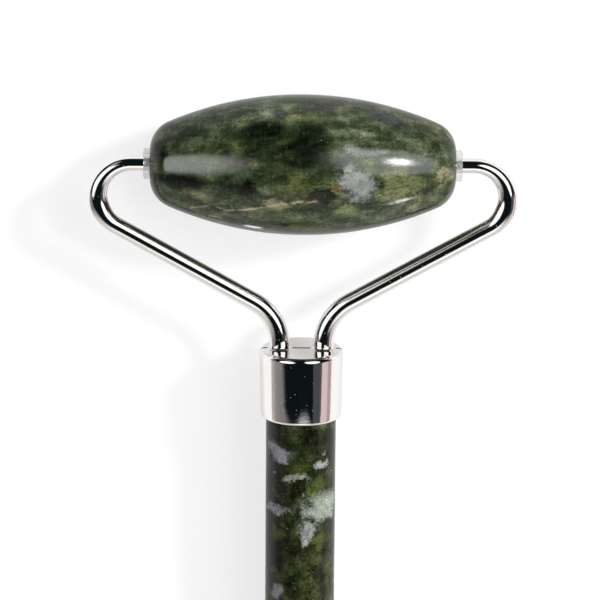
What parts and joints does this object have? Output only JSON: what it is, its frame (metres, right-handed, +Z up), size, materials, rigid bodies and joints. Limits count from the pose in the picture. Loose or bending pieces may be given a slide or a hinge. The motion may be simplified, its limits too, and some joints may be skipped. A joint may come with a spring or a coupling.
{
  "type": "face roller",
  "caption": "Double-ended face roller: a straight stone handle with two chromed wire frames, each carrying a barrel-shaped polished stone roller on clear bushes.",
  "frame": {"origin": "on the surface that the roller lies on, under the middle of its overall box", "axes": "+Y along the handle towards the large stone, +X along both axles, +Z up from the surface"},
  "size_m": [0.0566, 0.142, 0.0184],
  "materials": {
    "roller_stone": "polished",
    "handle_stone": "polished",
    "chromed_metal": "polished",
    "braze": "gloss",
    "clear_bush": "gloss",
    "cement": "matte"
  },
  "bodies": {
    "handle_and_frames": {"handle_stone": "handle_stone", "large_ferrule": "chromed_metal", "large_bond": "cement", "large_arm_left": "chromed_metal", "large_arm_right": "chromed_metal", "large_braze_left": "braze", "large_braze_right": "braze", "small_ferrule": "chromed_metal", "small_bond": "cement", "small_arm_left": "chromed_metal", "small_arm_right": "chromed_metal", "small_braze_left": "braze", "small_braze_right": "braze"},
    "large_roller": {"large_roller_stone": "roller_stone", "large_bush_left": "clear_bush", "large_bush_right": "clear_bush"},
    "small_roller": {"small_roller_stone": "roller_stone", "small_bush_left": "clear_bush", "small_bush_right": "clear_bush"}
  },
  "joints": [
    {"name": "large_roller_spin", "type": "hinge", "parent": "handle_and_frames", "child": "large_roller", "pos_m": [0, 0.06183, 0.0092], "axis": [1, 0, 0], "continuous": true},
    {"name": "small_roller_spin", "type": "hinge", "parent": "handle_and_frames", "child": "small_roller", "pos_m": [0, -0.06453, 0.0065], "axis": [1, 0, 0], "continuous": true}
  ]
}
